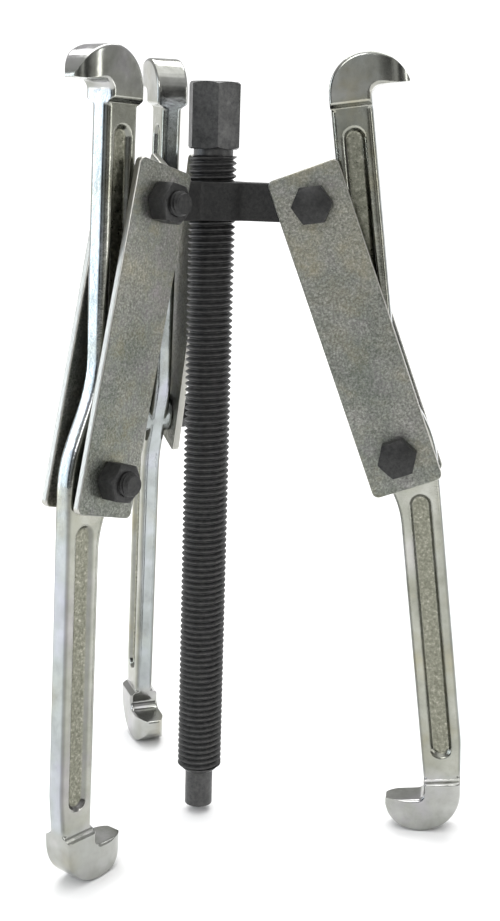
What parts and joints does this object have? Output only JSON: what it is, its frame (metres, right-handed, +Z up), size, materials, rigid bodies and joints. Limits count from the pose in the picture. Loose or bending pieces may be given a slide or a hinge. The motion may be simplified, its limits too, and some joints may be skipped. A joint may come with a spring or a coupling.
{
  "type": "three-leg gear puller",
  "caption": "Three-leg gear puller: a hex-headed forcing screw through a star-shaped yoke, with double-ended forged jaws hung on pairs of flat straps.",
  "frame": {"origin": "on the forcing screw's axis, at the lower end of the straight nose of the pressure tip, where its point begins", "axes": "+Z up along the forcing screw towards its hexagon head; the right leg lies 10 degrees from +X towards -Y, and the other legs 120 degrees apart from it"},
  "size_m": [0.1765, 0.1657, 0.3291],
  "materials": {
    "plated_jaw": "bright zinc plating over a forged surface",
    "zinc_strap": "matte mottled zinc passivate",
    "black_screw": "black oxide, lightly oiled",
    "black_yoke": "black oxide, matte",
    "black_fastener": "black oxide"
  },
  "bodies": {
    "yoke": {"yoke": "black_yoke"},
    "pressure_tip": {"pressure_tip": "black_screw"},
    "forcing_screw": {"forcing_screw": "black_screw"},
    "right_link": {"right_strap_near": "zinc_strap", "right_strap_far": "zinc_strap", "right_upper_bolt": "black_fastener", "right_upper_nut": "black_fastener", "right_lower_bolt": "black_fastener", "right_lower_nut": "black_fastener"},
    "right_jaw": {"right_jaw": "plated_jaw"},
    "back_link": {"back_strap_near": "zinc_strap", "back_strap_far": "zinc_strap", "back_upper_bolt": "black_fastener", "back_upper_nut": "black_fastener", "back_lower_bolt": "black_fastener", "back_lower_nut": "black_fastener"},
    "back_jaw": {"back_jaw": "plated_jaw"},
    "front_link": {"front_strap_near": "zinc_strap", "front_strap_far": "zinc_strap", "front_upper_bolt": "black_fastener", "front_upper_nut": "black_fastener", "front_lower_bolt": "black_fastener", "front_lower_nut": "black_fastener"},
    "front_jaw": {"front_jaw": "plated_jaw"}
  },
  "joints": [
    {"name": "screw_advance", "type": "slide", "parent": "yoke", "child": "pressure_tip", "axis": [0, 0, 1], "range_m": [-0.012, 0.23]},
    {"name": "screw_turn", "type": "hinge", "parent": "pressure_tip", "child": "forcing_screw", "pos_m": [0, 0, 0.15], "axis": [0, 0, 1], "range_deg": [-1701, 32600]},
    {"name": "right_link_swing", "type": "hinge", "parent": "yoke", "child": "right_link", "pos_m": [0.04136, -0.00729, 0.2646], "axis": [-0.1736, -0.9848, 0], "range_deg": [-15, 38]},
    {"name": "right_jaw_swing", "type": "hinge", "parent": "right_link", "child": "right_jaw", "pos_m": [0.07929, -0.01398, 0.16531], "axis": [0.1736, 0.9848, 0], "range_deg": [-1.15, 23.8]},
    {"name": "back_link_swing", "type": "hinge", "parent": "yoke", "child": "back_link", "pos_m": [-0.01436, 0.03947, 0.2646], "axis": [0.9397, 0.342, 0], "range_deg": [-12, 41]},
    {"name": "back_jaw_swing", "type": "hinge", "parent": "back_link", "child": "back_jaw", "pos_m": [-0.0258, 0.07089, 0.16349], "axis": [-0.9397, -0.342, 0], "range_deg": [-2.85, 14]},
    {"name": "front_link_swing", "type": "hinge", "parent": "yoke", "child": "front_link", "pos_m": [-0.027, -0.03217, 0.2646], "axis": [-0.766, 0.6428, 0], "range_deg": [-7.7, 45]},
    {"name": "front_jaw_swing", "type": "hinge", "parent": "front_link", "child": "front_jaw", "pos_m": [-0.04356, -0.05191, 0.16126], "axis": [0.766, -0.6428, 0], "range_deg": [0, 14]}
  ],
  "couplings": [
    {"joint": "screw_turn", "follows": "screw_advance", "rad_per_m": 2473.7}
  ]
}
